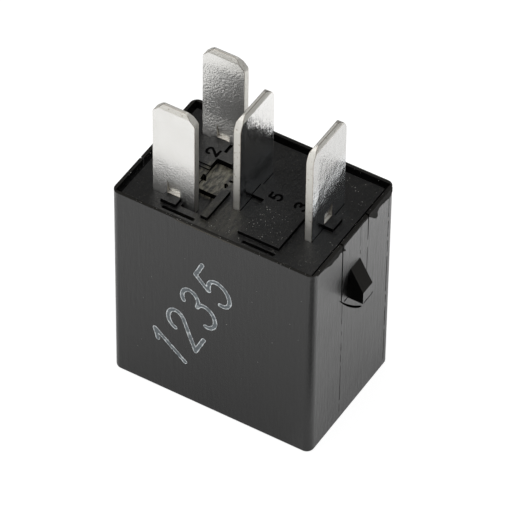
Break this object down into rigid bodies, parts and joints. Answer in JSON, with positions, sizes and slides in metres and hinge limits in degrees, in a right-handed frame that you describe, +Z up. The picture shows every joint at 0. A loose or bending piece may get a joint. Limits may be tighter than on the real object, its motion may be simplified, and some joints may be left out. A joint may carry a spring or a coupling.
{
  "type": "automotive relay",
  "caption": "Small plug-in automotive relay: black moulded cover with catch wedges, flat plug blades out of its base, coil, hinged armature and contacts inside.",
  "frame": {"origin": "centre of the outer face of the cover's closed end, on which the relay stands", "axes": "+X along the long side towards blade 3, +Y across towards blade 2, +Z up out of the base along the blades"},
  "size_m": [0.0262, 0.0156, 0.0363],
  "materials": {
    "black_plastic": "moulded, satin gloss, black",
    "tinned_brass": "tin plated, bright with a fine grain",
    "bobbin_plastic": "moulded, natural colour",
    "copper_wire": "enamelled copper wire, glossy",
    "soft_iron": "plated, satin",
    "spring_bronze": "rolled strip, satin",
    "rivet_steel": "plated, satin",
    "contact_silver": "bright silver alloy",
    "resistor_ceramic": "lacquered, glossy"
  },
  "bodies": {
    "housing": {"cover": "black_plastic", "base": "black_plastic", "terminal_1": "tinned_brass", "terminal_2": "tinned_brass", "terminal_3": "tinned_brass", "terminal_5": "tinned_brass", "bobbin": "bobbin_plastic", "winding": "copper_wire", "coil_lead_front": "copper_wire", "coil_lead_rear": "copper_wire", "core": "soft_iron", "yoke": "soft_iron", "yoke_rivets": "rivet_steel", "fixed_contact": "contact_silver", "resistor": "resistor_ceramic", "resistor_leads": "tinned_brass"},
    "armature_group": {"armature": "soft_iron", "armature_rivets": "rivet_steel", "contact_spring": "spring_bronze", "moving_contact": "contact_silver"}
  },
  "joints": [
    {"name": "armature_hinge", "type": "hinge", "parent": "housing", "child": "armature_group", "pos_m": [0.0053, 0, 0.00395], "axis": [0, 1, 0], "range_deg": [0, 2.6], "stiffness_Nm_per_rad": 0.01, "springref_deg": -28.65, "deforming": ["contact_spring"]}
  ]
}
